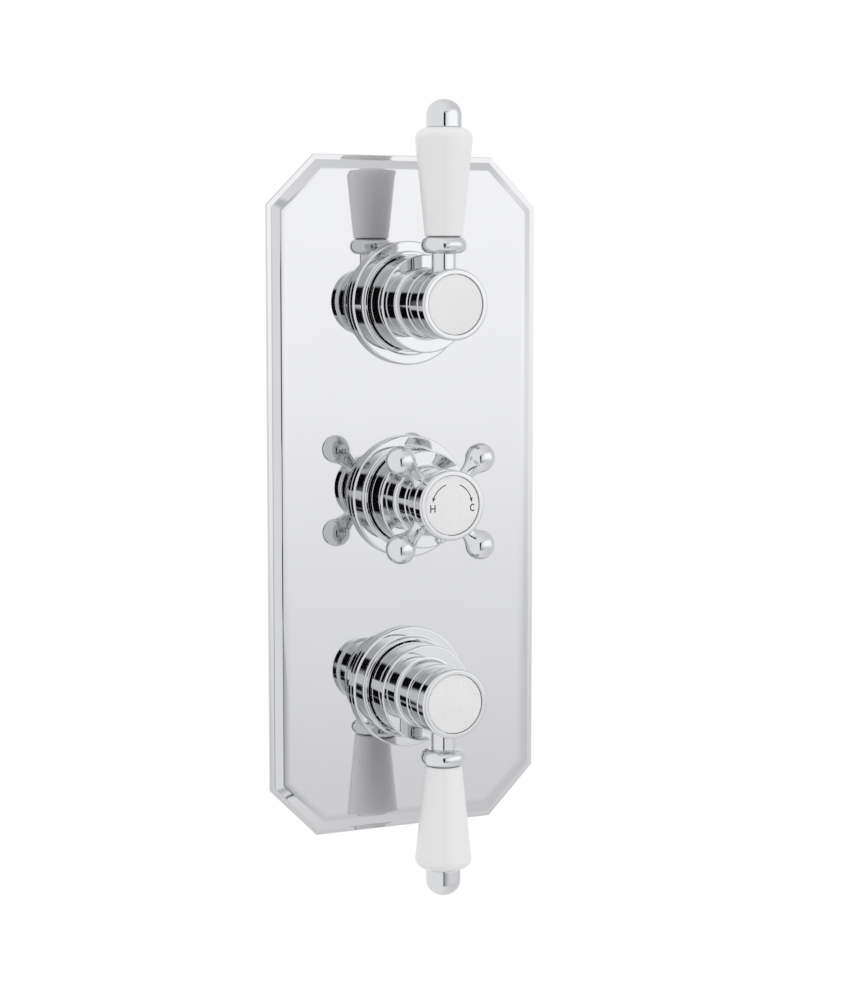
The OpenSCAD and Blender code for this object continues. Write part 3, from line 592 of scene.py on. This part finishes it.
def escutcheon_outline():
    back = PANEL_D + SEAT_GAP
    face_d = PANEL_D + FLANGE_T
    outline = [(SLEEVE_R, back), (FLANGE_R - FLANGE_BACK_INSET, back)]
    outline += arc(FLANGE_R - FLANGE_BACK_EDGE, back + FLANGE_BACK_EDGE, FLANGE_BACK_EDGE, -90, 0)
    outline += arc(FLANGE_R - FLANGE_EDGE, face_d - FLANGE_EDGE, FLANGE_EDGE, 0, 90)
    outline += arc(COLLAR_R + COLLAR_COVE, face_d + COLLAR_COVE, COLLAR_COVE, 270, 180, 6)
    outline += arc(COLLAR_R - COLLAR_EDGE, COLLAR_FRONT_D - COLLAR_EDGE, COLLAR_EDGE, 0, 90)
    outline += arc(COLLAR_BORE + BORE_EDGE, COLLAR_FRONT_D - BORE_EDGE, BORE_EDGE, 90, 180, 4)
    outline += [(COLLAR_BORE, face_d - RECESS_L), (SLEEVE_R, face_d - RECESS_L)]
    return outline


def hub_outline(skirt_l, front_d):
    skirt_d = HUB_REAR_D + skirt_l
    line_d = skirt_d + LINE_SHARE * (front_d - skirt_d)
    bead_d = skirt_d - SKIRT_BEAD_L
    bead_foot_d = bead_d + SEAT_GAP
    web_d = skirt_d - HUB_WEB_T
    floor_d = skirt_d + HUB_FLOOR_L
    bead_back_r = SKIRT_R - SKIRT_BEAD_BACK
    outline = [(SOCKET_R, HUB_REAR_D + HUB_CORE_INSET), (HUB_CORE_R, HUB_REAR_D + HUB_CORE_INSET)]
    outline += [(HUB_CORE_R, web_d), (WAIST_R - HUB_WALL, web_d), (WAIST_R - HUB_WALL, HUB_REAR_D)]
    outline += arc(WAIST_R - WAIST_EDGE, HUB_REAR_D + WAIST_EDGE, WAIST_EDGE, -90, 0)
    outline += [(WAIST_R + SKIRT_GROWTH, bead_d), (bead_back_r, bead_foot_d)]
    outline += arc(bead_back_r, bead_foot_d + SKIRT_BEAD_BACK, SKIRT_BEAD_BACK, -90, 0, 5)
    outline += arc(SKIRT_R - SKIRT_BEAD_FRONT, skirt_d - SKIRT_BEAD_FRONT, SKIRT_BEAD_FRONT, 0, 90)
    outline += arc(NECK_R + COVE_R, skirt_d + COVE_R, COVE_R, 270, 180)
    outline += [(NECK_R, line_d)]
    outline += arc(NECK_R, line_d + LINE_L / 2, LINE_ROUND, -60, 60, 8)
    outline += [(NECK_R, line_d + LINE_L), (NECK_R, front_d - RIDGE_L - SEAT_GAP)]
    outline += oval(NECK_R, front_d - RIDGE_L / 2, RIDGE_H, RIDGE_L / 2, range(-90, 91, 10))
    outline += [(CAVITY_R, front_d), (CAVITY_R, floor_d), (SOCKET_R, floor_d)]
    return outline


def cap_outline(front_d):
    base = front_d + SEAT_GAP
    top = front_d + CAP_L
    lip_r = DISC_R + DISC_SEAM
    outline = [(CAVITY_R, base)]
    outline += arc(CAP_R - CAP_BACK_EDGE, base + CAP_BACK_EDGE, CAP_BACK_EDGE, -90, 0)
    outline += arc(CAP_R - CAP_FRONT_EDGE, top - CAP_FRONT_EDGE, CAP_FRONT_EDGE, 0, 84)
    outline += arc(lip_r + CAP_LIP_EDGE, top - CAP_LIP_EDGE, CAP_LIP_EDGE, 88, 180, 5)
    outline += [(lip_r, base + CAP_FLOOR_L), (CAVITY_R, base + CAP_FLOOR_L)]
    return outline


def disc_height(front_d, radius):
    return front_d + CAP_L - DISC_SINK + DISC_CROWN * (1 - (radius / DISC_R) ** 2)


def disc_outline(front_d):
    base = front_d + DISC_BACK_L
    edge_d = disc_height(front_d, DISC_R) - DISC_EDGE
    outline = [(0, base), (DISC_R, base), (DISC_R, edge_d)]
    outline += arc(DISC_R - DISC_EDGE, edge_d, DISC_EDGE, 15, 85, 6)
    crown = [DISC_R * (1 - i / DISC_STEPS) * DISC_CROWN_SHARE for i in range(DISC_STEPS)]
    outline += [(radius, disc_height(front_d, radius)) for radius in crown]
    outline += [(0, disc_height(front_d, 0))]
    return outline


def make_knobs():
    for name, z in KNOBS:
        handle = HANDLE_BODY[name]
        skirt_l = CROSS_SKIRT_L if name == "centre" else LEVER_SKIRT_L
        front_d = CROSS_FRONT_D if name == "centre" else LEVER_FRONT_D
        for part, node, outline, material, body, slot in (
            ("escutcheon", "escutcheon", escutcheon_outline(), CHROME, "housing", "chrome"),
            ("hub", "hub", hub_outline(skirt_l, front_d), CHROME, handle, "chrome"),
            ("cap", "cap_ring", cap_outline(front_d), CHROME, handle, "chrome"),
            ("disc", "index_disc", disc_outline(front_d), DISC_GLAZE, handle, "index_white"),
        ):
            piece = f"{name}_{part}_visual"
            lathe_piece(piece, outline, on_axis(z), material, body, f"{name}_{node}")


# Levers

def stem_outline():
    bead_x = BEAD_R - BEAD_L / 2
    sink = NECK_R - STEM_SINK
    outline = [(0, SPIGOT_FOOT), (STEM_SPIGOT_R, SPIGOT_FOOT), (STEM_SPIGOT_R, sink)]
    outline += [(STEM_R, sink), (STEM_R, BEAD_REACH - STEM_COVE)]
    outline += arc(STEM_R + STEM_COVE, BEAD_REACH - STEM_COVE, STEM_COVE, 180, 90, 5)
    outline += arc(bead_x, BEAD_REACH + BEAD_L / 2, BEAD_L / 2, -86, 86, 28)
    outline += [(ROD_R, BEAD_REACH + BEAD_L), (ROD_R, ROD_END), (0, ROD_END)]
    return outline


def grip_outline():
    start = BEAD_REACH + BEAD_L + SEAT_GAP
    side_start = start + GRIP_FOOT_EDGE
    shoulder = GRIP_END - GRIP_SHOULDER_L
    side_l = shoulder - GRIP_BLEND_L - side_start
    outline = [(GRIP_BORE_R, start)]
    outline += arc(GRIP_FOOT_R - GRIP_FOOT_EDGE, side_start, GRIP_FOOT_EDGE, -90, 0)
    for i in range(1, GRIP_STEPS + 1):
        t = i / GRIP_STEPS
        radius = GRIP_FOOT_R + (GRIP_R - GRIP_FOOT_R) * t ** GRIP_SWELL
        outline.append((radius, side_start + side_l * t))
    outline += arc(GRIP_R - GRIP_SHOULDER_R, shoulder, GRIP_SHOULDER_R, 4, 78, 16)
    outline += [(FINIAL_R + FINIAL_SEAT_W, GRIP_END), (GRIP_BORE_R, GRIP_END)]
    return outline


def finial_outline():
    dome_l = (FINIAL_END - GRIP_END) * DOME_SHARE
    outline = [(0, GRIP_END), (FINIAL_R - FINIAL_EDGE, GRIP_END)]
    outline += arc(FINIAL_R - FINIAL_EDGE, GRIP_END + FINIAL_EDGE, FINIAL_EDGE, -90, 0)
    outline += oval(0, FINIAL_END - dome_l, FINIAL_R, dome_l, range(0, 90, 5))
    outline += [(0, FINIAL_END)]
    return outline


def make_levers():
    for name, side in (("top", 1), ("bottom", -1)):
        body = HANDLE_BODY[name]
        for part, node, outline, material, slot in (
            ("stem", "lever_stem", stem_outline(), CHROME, "chrome"),
            ("grip", "lever_sleeve", grip_outline(), GLAZE, "ceramic"),
            ("finial", "finial", finial_outline(), CHROME, "chrome"),
        ):
            piece = f"{name}_{part}_visual"
            lathe_piece(piece, outline, on_lever(side), material, body, f"{name}_{node}")


# Cross handle

def arm_outline():
    join = math.radians(BALL_JOIN)
    ball_x = BALL_R * math.sin(join)
    ball_s = BALL_REACH + BALL_R * math.cos(join)
    ease = (ball_x + math.cos(join) * BALL_EASE, ball_s - math.sin(join) * BALL_EASE)
    taper = [(ARM_FOOT_R + r, NECK_R + s) for r, s in ARM_TAPER]
    outline = [(0, SPIGOT_FOOT), (ARM_SPIGOT_R, SPIGOT_FOOT), (ARM_SPIGOT_R, NECK_R - ARM_SINK)]
    outline += [(ARM_FOOT_R + r, NECK_R + s) for r, s in ARM_FLARE]
    outline += bezier(*taper, ease, (ball_x, ball_s), ARM_STEPS)
    for degrees in range(BALL_JOIN - BALL_STEP, 0, -BALL_STEP):
        a = math.radians(degrees)
        outline.append((BALL_R * math.sin(a), BALL_REACH + BALL_R * math.cos(a)))
    outline += [(0, BALL_REACH + BALL_R)]
    return outline


def button_outline():
    flange_end = BUTTON_FOOT + BUTTON_FLANGE_T
    outline = [(0, BUTTON_FOOT), (BUTTON_FLANGE_R, BUTTON_FOOT), (BUTTON_FLANGE_R, flange_end)]
    outline += [(BUTTON_R, flange_end)]
    outline += arc(BUTTON_R - BUTTON_EDGE, BUTTON_REACH - BUTTON_EDGE, BUTTON_EDGE, 0, 90)
    outline += [(0, BUTTON_REACH)]
    return outline


def make_cross():
    bm = bmesh.new()
    for angle in ARM_ANGLES:
        add_lathe(bm, arm_outline(), on_arm(angle), ARM_SEGMENTS)
    mesh_object("ball_arms_visual", bm, CHROME, "temperature_handle", ("ball_arms",))
    lathe_piece(
        "override_button_visual", button_outline(), on_arm(BUTTON_ANGLE), CHROME,
        "temperature_button", "override_button",
    )


# Marks on the centre disc

def ink_point(x, z):
    depth = disc_height(CROSS_FRONT_D, math.hypot(x, z)) + INK_RISE
    return Vector((x, -depth, z)) * MM


def add_stroke(bm, points, width=STROKE):
    """A flat ribbon of even width along points on the disc."""
    sides = []
    for i, point in enumerate(points):
        before = Vector(points[max(i - 1, 0)])
        after = Vector(points[min(i + 1, len(points) - 1)])
        along = (after - before).normalized()
        across = Vector((-along.y, along.x)) * width / 2
        sides.append((Vector(point) + across, Vector(point) - across))
    verts = [(bm.verts.new(ink_point(*a)), bm.verts.new(ink_point(*b))) for a, b in sides]
    for (a, b), (c, d) in zip(verts, verts[1:]):
        bm.faces.new((a, b, d, c))


def line(a, b, steps=6):
    return [tuple(Vector(a).lerp(Vector(b), i / steps)) for i in range(steps + 1)]


def add_arrow(bm, start, end):
    """An arrow along the arc of the marks, with its tip at the angle end."""
    turn = 1 if end > start else -1
    neck = end - turn * math.degrees(HEAD_L / MARK_ARC_R) * HEAD_SHARE
    add_stroke(bm, arc(0, 0, MARK_ARC_R, start, neck, ARROW_STEPS), ARROW_STROKE)
    corners = [(MARK_ARC_R - HEAD_W / 2, neck), (MARK_ARC_R + HEAD_W / 2, neck), (MARK_ARC_R, end)]
    bm.faces.new([
        bm.verts.new(ink_point(r * math.cos(math.radians(a)), r * math.sin(math.radians(a))))
        for r, a in corners
    ])


def make_marks():
    bm = bmesh.new()
    x, z = H_AT
    for side in (-1, 1):
        leg_x = x + side * (LETTER_W - STROKE) / 2
        add_stroke(bm, line((leg_x, z - LETTER_H / 2), (leg_x, z + LETTER_H / 2)))
    add_stroke(bm, line((x - LETTER_W / 2 + STROKE, z), (x + LETTER_W / 2 - STROKE, z)))
    x, z = C_AT
    add_stroke(bm, oval(x, z, (LETTER_W - STROKE) / 2 * C_WIDEN, (LETTER_H - STROKE) / 2, C_ANGLES))
    for start, end in ARROW_ANGLES:
        add_arrow(bm, start, end)
    piece = mesh_object("temperature_marks", bm, MATERIALS["ink"], "temperature_handle")
    thicken = piece.modifiers.new("thickness", "SOLIDIFY")
    thicken.thickness = INK_T * MM
    thicken.offset = -1


# Springs. Each one has the bodies that hold its still and its moving end, its axis, and the corner
# of its box, 0 for the lowest and 1 for the highest, at its still end.
SPRINGS = (
    ("return_spring", "housing", "thermostat_slide", 1, 1),
    ("button_spring", "temperature_handle", "temperature_button", 2, 1),
    ("hot_check_spring", "housing", "hot_check", 0, 1),
    ("cold_check_spring", "housing", "cold_check", 0, 0),
)


def make_springs():
    """A copy replaces each spring and is baked in place; neither end is attached to a body."""
    for node, still_body, moving_body, axis, still_end in SPRINGS:
        piece = bpy.data.objects.new(node + "_visual", nodes[node].data.copy())
        bpy.context.scene.collection.objects.link(piece)
        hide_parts(node)
        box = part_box(node)
        start = (box[0] + box[1]) / 2
        end = start.copy()
        start[axis] = box[still_end][axis]
        end[axis] = box[1 - still_end][axis]
        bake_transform(piece)


# Camera

CAMERA_AT = Vector((-0.4264, -0.9160, 0.1013))
CAMERA_YAW = math.radians(25.47)
CAMERA_PITCH = math.radians(5.85)
IMAGE_W = 846
FOCAL_PX = 2273.9
SENSOR_MM = 36


def make_camera():
    level = math.cos(CAMERA_PITCH)
    forward = Vector((
        math.sin(CAMERA_YAW) * level, math.cos(CAMERA_YAW) * level, -math.sin(CAMERA_PITCH),
    ))
    right = Vector((math.cos(CAMERA_YAW), -math.sin(CAMERA_YAW), 0))
    up = right.cross(forward)
    turn = Matrix((right, up, -forward)).transposed().to_4x4()
    camera = bpy.data.objects.new("camera", bpy.data.cameras.new("camera"))
    camera.matrix_world = Matrix.Translation(CAMERA_AT) @ turn
    camera.data.sensor_fit = "HORIZONTAL"
    camera.data.sensor_width = SENSOR_MM
    camera.data.lens = FOCAL_PX / IMAGE_W * SENSOR_MM
    camera.data.clip_start = 0.01
    bpy.context.scene.collection.objects.link(camera)
    bpy.context.scene.camera = camera


# Studio. Bearings and elevations are in degrees as seen from the object: a bearing of zero is
# straight out from the wall, and positive ones are to the right.

# The white tent in front and to the right, as a table of elevation and level
TENT = (
    (-90, 0.58), (-45, 0.60), (-26, 0.60), (-18, 0.64), (-12.5, 0.70), (-7.7, 0.82), (-2.9, 0.94),
    (2, 1.0), (24, 1.0), (38, 0.68), (60, 0.62), (90, 0.62),
)
TENT_BEARING = math.radians(38)
TENT_STRENGTH = 1.35
TENT_REACH = (0.62, 0.93)

# The room beside the tent, from its left part to its right part
SIDE_LEVELS = (0.76, 0.60)
SIDE_REACH = (-0.3, 0.7)
TINT = 1.012

BLACK = (0.004, 0.004, 0.005)

# Each card has its colour, distance in metres, bearings, elevations, and the shares of its width
# and height that its left, right, lower and upper edges take to fade out.
CARDS = {
    "camera_slit": (BLACK, 1.57, (-28.1, -13.5), (-18.5, 19.5), (0.17, 0.17, 0.08, 0.08)),
    "camera_foot": (BLACK, 1.57, (-22.5, -17), (-43, -17), (0.2, 0.2, 0.1, 0.02)),
    "white_notch": ((1, 1, 1.01), 1.54, (-28.3, -24.5), (-10.5, 1), (0.2, 0.2, 0.1, 0.1)),
    "upper_grey": ((0.68, 0.69, 0.71), 1.68, (-28, 12), (17.5, 31), (0.06, 0.5, 0.02, 0.2)),
    "lower_grey": ((0.54, 0.55, 0.57), 1.68, (-28, 19), (-42, -15.5), (0.06, 0.65, 0.2, 0.05)),
}

# Each lamp has its place in metres and its energy in watts.
LAMPS = {"right_softbox": ((1.1, -1.3, 0.7), 1.6), "left_softbox": ((-1.3, -1.2, 0.6), 0.4)}
LAMP_SIZE = 1.2

FLOOR_REACH = 6.0
FLOOR_Z = -0.95


def grey(level):
    return (level, level, level * TINT)


def show_to_camera(tree, usual, to_camera, out):
    """Sends one shader to the camera's own rays and the other to all the rest."""
    path = tree.nodes.new("ShaderNodeLightPath")
    mix = tree.nodes.new("ShaderNodeMixShader")
    tree.links.new(path.outputs["Is Camera Ray"], mix.inputs["Fac"])
    tree.links.new(usual, mix.inputs[1])
    tree.links.new(to_camera, mix.inputs[2])
    tree.links.new(mix.outputs["Shader"], out.inputs["Surface"])


def make_world():
    world = bpy.data.worlds.new("studio")
    bpy.context.scene.world = world
    world.use_nodes = True
    tree = world.node_tree
    tree.nodes.clear()
    coords = tree.nodes.new("ShaderNodeTexCoord").outputs["Generated"]
    split = tree.nodes.new("ShaderNodeSeparateXYZ")
    tree.links.new(coords, split.inputs["Vector"])
    height = range_node(tree, split.outputs["Z"], (-1, 1))
    tent_table = [((math.sin(math.radians(angle)) + 1) / 2, grey(level)) for angle, level in TENT]
    tent = ramp_node(tree, height, tent_table)
    across = range_node(tree, split.outputs["X"], SIDE_REACH)
    sides = ramp_node(tree, across, [(i, grey(level)) for i, level in enumerate(SIDE_LEVELS)])
    toward = tree.nodes.new("ShaderNodeVectorMath")
    toward.operation = "DOT_PRODUCT"
    toward.inputs[1].default_value = (math.sin(TENT_BEARING), -math.cos(TENT_BEARING), 0)
    tree.links.new(coords, toward.inputs[0])
    blend = tree.nodes.new("ShaderNodeMix")
    blend.data_type = "RGBA"
    factor, low, high = blend.inputs[0], blend.inputs[6], blend.inputs[7]
    tree.links.new(range_node(tree, toward.outputs["Value"], TENT_REACH, smooth=True), factor)
    tree.links.new(sides, low)
    tree.links.new(tent, high)
    glow = tree.nodes.new("ShaderNodeBackground")
    glow.inputs["Strength"].default_value = TENT_STRENGTH
    tree.links.new(blend.outputs[2], glow.inputs["Color"])
    white = tree.nodes.new("ShaderNodeBackground")
    white.inputs["Color"].default_value = (1, 1, 1, 1)
    out = tree.nodes.new("ShaderNodeOutputWorld")
    show_to_camera(tree, glow.outputs["Background"], white.outputs["Background"], out)


def card_material(name, colour, fades):
    """An even glow that fades out towards the card's edges."""
    material = bpy.data.materials.new(name)
    material.use_nodes = True
    tree = material.node_tree
    tree.nodes.clear()
    coords = tree.nodes.new("ShaderNodeTexCoord")
    split = tree.nodes.new("ShaderNodeSeparateXYZ")
    tree.links.new(coords.outputs["Generated"], split.inputs["Vector"])
    left, right, low, high = fades
    edges = (("X", 0, left), ("X", 1, 1 - right), ("Z", 0, low), ("Z", 1, 1 - high))
    cover = None
    for axis, start, end in edges:
        edge = range_node(tree, split.outputs[axis], (start, end), smooth=True)
        if cover is None:
            cover = edge
            continue
        both = tree.nodes.new("ShaderNodeMath")
        both.operation = "MULTIPLY"
        tree.links.new(cover, both.inputs[0])
        tree.links.new(edge, both.inputs[1])
        cover = both.outputs["Value"]
    glow = tree.nodes.new("ShaderNodeEmission")
    glow.inputs["Color"].default_value = (*colour, 1)
    clear = tree.nodes.new("ShaderNodeBsdfTransparent")
    mix = tree.nodes.new("ShaderNodeMixShader")
    out = tree.nodes.new("ShaderNodeOutputMaterial")
    tree.links.new(cover, mix.inputs["Fac"])
    tree.links.new(clear.outputs["BSDF"], mix.inputs[1])
    tree.links.new(glow.outputs["Emission"], mix.inputs[2])
    tree.links.new(mix.outputs["Shader"], out.inputs["Surface"])
    return material


def stage_sheet(name, centre, right, up, material):
    """A flat sheet of the studio, with half its width and half its height as vectors."""
    bm = bmesh.new()
    corners = ((-1, -1), (1, -1), (1, 1), (-1, 1))
    bm.faces.new([bm.verts.new(centre + right * a + up * b) for a, b in corners])
    mesh = bpy.data.meshes.new(name)
    bm.to_mesh(mesh)
    bm.free()
    mesh.materials.append(material)
    sheet = bpy.data.objects.new(name, mesh)
    bpy.context.scene.collection.objects.link(sheet)
    return sheet


def add_card(name, colour, distance, bearings, elevations, fades):
    """An upright card that only reflections and light see."""
    bearing = math.radians(sum(bearings) / 2)
    toward = Vector((math.sin(bearing), -math.cos(bearing), 0))
    half_width = distance * math.tan(math.radians(bearings[1] - bearings[0]) / 2)
    low, high = (distance * math.tan(math.radians(e)) for e in elevations)
    up = Vector((0, 0, 1))
    centre = toward * distance + up * (low + high) / 2
    right = up.cross(-toward) * half_width
    material = card_material(name, colour, fades)
    card = stage_sheet(name, centre, right, up * (high - low) / 2, material)
    card.visible_camera = False
    card.visible_shadow = False


def add_lamp(name, place, energy):
    """A square softbox aimed at the object, which no reflection shows."""
    lamp = bpy.data.lights.new(name, "AREA")
    lamp.shape = "RECTANGLE"
    lamp.size = LAMP_SIZE
    lamp.size_y = LAMP_SIZE
    lamp.energy = energy
    lamp_object = bpy.data.objects.new(name, lamp)
    lamp_object.location = place
    lamp_object.rotation_euler = (-Vector(place)).to_track_quat("-Z", "Y").to_euler()
    lamp_object.visible_glossy = False
    bpy.context.scene.collection.objects.link(lamp_object)


def floor_material():
    material = bpy.data.materials.new("floor_white")
    material.use_nodes = True
    tree = material.node_tree
    tree.nodes.clear()
    paint = tree.nodes.new("ShaderNodeBsdfDiffuse")
    paint.inputs["Color"].default_value = (0.8, 0.8, 0.8, 1)
    glow = tree.nodes.new("ShaderNodeEmission")
    out = tree.nodes.new("ShaderNodeOutputMaterial")
    show_to_camera(tree, paint.outputs["BSDF"], glow.outputs["Emission"], out)
    return material


def make_studio():
    for name, card in CARDS.items():
        add_card(name, *card)
    along_x, along_y = Vector((FLOOR_REACH, 0, 0)), Vector((0, FLOOR_REACH, 0))
    floor = stage_sheet("floor", Vector((0, 0, FLOOR_Z)), along_x, along_y, floor_material())
    floor.visible_glossy = False
    for name, (place, energy) in LAMPS.items():
        add_lamp(name, place, energy)


dress_cad_nodes()
make_face_plate()
make_knobs()
make_levers()
make_cross()
make_marks()
make_springs()
make_camera()
make_world()
make_studio()
bpy.context.scene.view_settings.view_transform = "Standard"
